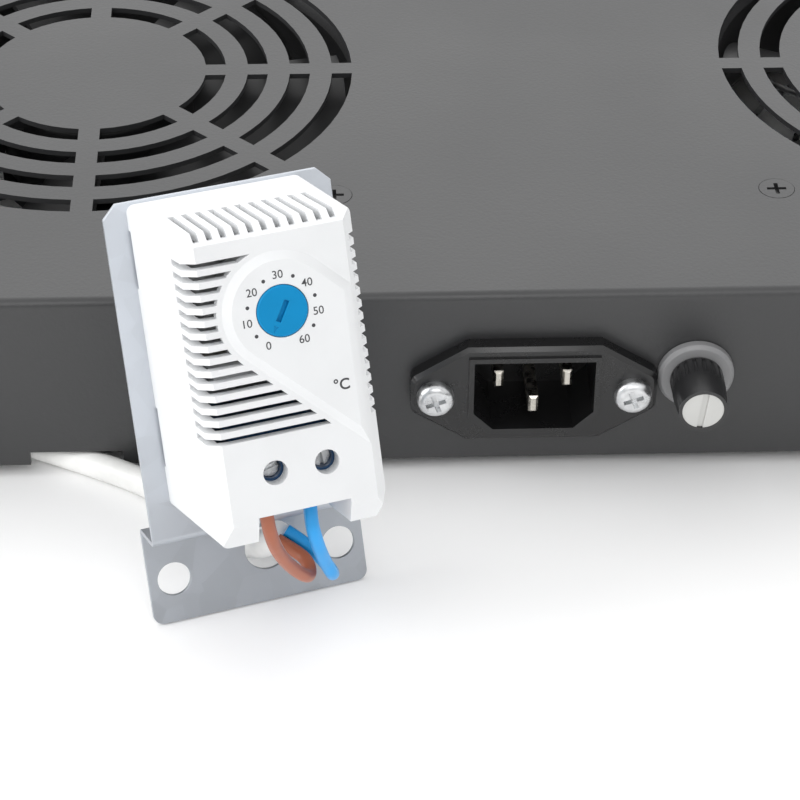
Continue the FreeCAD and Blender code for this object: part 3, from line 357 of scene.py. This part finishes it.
def blue_points():
    """Route of the blue conductor: right terminal, outside the brown one's bend, the sheath's end."""
    return seat([(TERMINAL_US[1], 36.0, WIRE_DEPTHS[1]), (4.2, 30.4, 21.3), (3.8, 24.6, 21.2),
                 (5.4, 18.8, 17.4), (7.8, 13.4, 11.4), (10.6, 8.0, 6.0), (11.4, 8.0, 1.4),
                 (8.6, 12.3, -3.0), (5.2, 15.3, -4.8)])


CABLE_RADIUS, STRAND_RADIUS = 2.8 * MM, 1.3 * MM
cord_curve("thermostat_cable", "cable_cord", cable_points(), CABLE_RADIUS, "cable_white")
cord_curve("brown_conductor", "brown_conductor_cord", brown_points(), STRAND_RADIUS, "brown_vinyl")
cord_curve("blue_conductor", "blue_conductor_cord", blue_points(), STRAND_RADIUS, "blue_vinyl")


# ------------------------------------------------------------------ printing on the dial field
INK = FACE + RISE + 0.02                        # the print lies just off the dial field
CAPITAL = 0.7                                   # a capital's share of the lettering's size
NUMBER_RING, DOT_RING, DOT_RADIUS = 6.5, 6.3, 0.34


def printed_mesh(name, points, faces):
    """A flat mesh in the ink's finish, its points in metres in the row frame."""
    mesh = bpy.data.meshes.new(name)
    mesh.from_pydata(points.tolist(), [], faces)
    mesh.materials.append(FINISHES["print"])
    made = bpy.data.objects.new(name, mesh)
    bpy.context.scene.collection.objects.link(made)
    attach(made, "tray")


def printed(name, text, u, s, height, bold):
    """Flat lettering on the dial field, its middle at (u, s); height is a capital's and bold is how far
    each outline is grown, both in millimetres."""
    curve = bpy.data.curves.new(name, "FONT")
    curve.body, curve.size, curve.offset = text, height / CAPITAL, bold
    curve.align_x, curve.align_y = "CENTER", "CENTER"
    curve.resolution_u = 6
    holder = bpy.data.objects.new(name + "_line", curve)
    bpy.context.scene.collection.objects.link(holder)
    flat = bpy.data.meshes.new_from_object(holder.evaluated_get(bpy.context.evaluated_depsgraph_get()))
    bpy.data.objects.remove(holder)
    points = np.zeros(len(flat.vertices) * 3)
    flat.vertices.foreach_get("co", points)
    points = points.reshape(-1, 3)
    points[:, :2] -= (points[:, :2].max(0) + points[:, :2].min(0)) / 2
    laid = np.column_stack([u + points[:, 0], s + points[:, 1], np.full(len(points), INK)])
    faces = [tuple(p.vertices) for p in flat.polygons]
    bpy.data.meshes.remove(flat)
    printed_mesh(name, seat(laid), faces)


def scale_place(degrees_c, radius):
    """Place of a scale value: 240 degrees round from the right, falling 5 degrees for each degree C."""
    angle = math.radians(240.0 - 5.0 * degrees_c)
    return DIAL_U + radius * math.cos(angle), DIAL_S + radius * math.sin(angle)


def scale_dot(degrees_c):
    """A 16-sided printed dot."""
    u, s = scale_place(degrees_c, DOT_RING)
    ring = np.linspace(0, 2 * np.pi, 17)[:-1]
    dot = np.column_stack([u + DOT_RADIUS * np.cos(ring), s + DOT_RADIUS * np.sin(ring), np.full(16, INK)])
    printed_mesh("scale_dot_%02d" % degrees_c, seat(dot), [list(range(16))])


for value in range(0, 61, 10):
    printed("scale_%02d" % value, str(value), *scale_place(value, NUMBER_RING), 1.42, 0.012)
for value in range(5, 60, 10):
    scale_dot(value)
printed("scale_unit", "°C", 8.7, 53.8, 1.95, 0.05)


# ------------------------------------------------------------------ floor, light
def pale_floor(half_width, colour, roughness):
    """A flat pale floor at height 0."""
    corners = [(-half_width, -half_width, 0), (half_width, -half_width, 0),
               (half_width, half_width, 0), (-half_width, half_width, 0)]
    mesh = bpy.data.meshes.new("floor")
    mesh.from_pydata(corners, [], [(0, 1, 2, 3)])
    mesh.materials.append(Finish("floor", colour, roughness).material)
    made = bpy.data.objects.new("floor", mesh)
    bpy.context.scene.collection.objects.link(made)


def softbox(name, place, target, size, power):
    """A rectangular area light that looks at target."""
    light = bpy.data.lights.new(name, "AREA")
    light.shape, light.size, light.size_y = "RECTANGLE", size[0], size[1]
    light.energy = power
    made = bpy.data.objects.new(name, light)
    made.location = place
    made.rotation_mode = "QUATERNION"
    made.rotation_quaternion = (Vector(target) - Vector(place)).to_track_quat("-Z", "Y")
    bpy.context.scene.collection.objects.link(made)


def studio(horizon, zenith, behind):
    """Surroundings: grey near the horizon, bright overhead, a paler wall behind the tray."""
    world = bpy.data.worlds.new("studio")
    world.use_nodes = True
    tree = world.node_tree
    back = tree.nodes["Background"]
    back.inputs["Color"].default_value = (1, 1, 1, 1)
    place, split = tree.nodes.new("ShaderNodeTexCoord"), tree.nodes.new("ShaderNodeSeparateXYZ")
    rise, rear = tree.nodes.new("ShaderNodeMapRange"), tree.nodes.new("ShaderNodeMapRange")
    tree.links.new(place.outputs["Generated"], split.inputs[0])
    for ramp, axis, low, high, to_low, to_high in ((rise, "Z", 0.03, 0.35, horizon, zenith),
                                                   (rear, "Y", 0.0, 0.7, 0.0, behind)):
        ramp.interpolation_type = "SMOOTHSTEP"
        for name, value in (("From Min", low), ("From Max", high), ("To Min", to_low), ("To Max", to_high)):
            ramp.inputs[name].default_value = value
        tree.links.new(split.outputs[axis], ramp.inputs["Value"])
    total = tree.nodes.new("ShaderNodeMath")
    tree.links.new(rise.outputs["Result"], total.inputs[0])
    tree.links.new(rear.outputs["Result"], total.inputs[1])
    tree.links.new(total.outputs[0], back.inputs["Strength"])
    bpy.context.scene.world = world


pale_floor(6.0, (0.93, 0.93, 0.93), 0.6)
studio(0.15, 0.96, 0.85)
softbox("key_light", (-1.25, -0.3, 0.75), (-0.05, -0.05, 0.03), (0.9, 0.9), 10.0)
softbox("front_light", (0.0, -1.3, 1.3), (0, -0.05, 0.03), (1.2, 0.6), 5.0)
bpy.context.scene.view_settings.view_transform = "Standard"
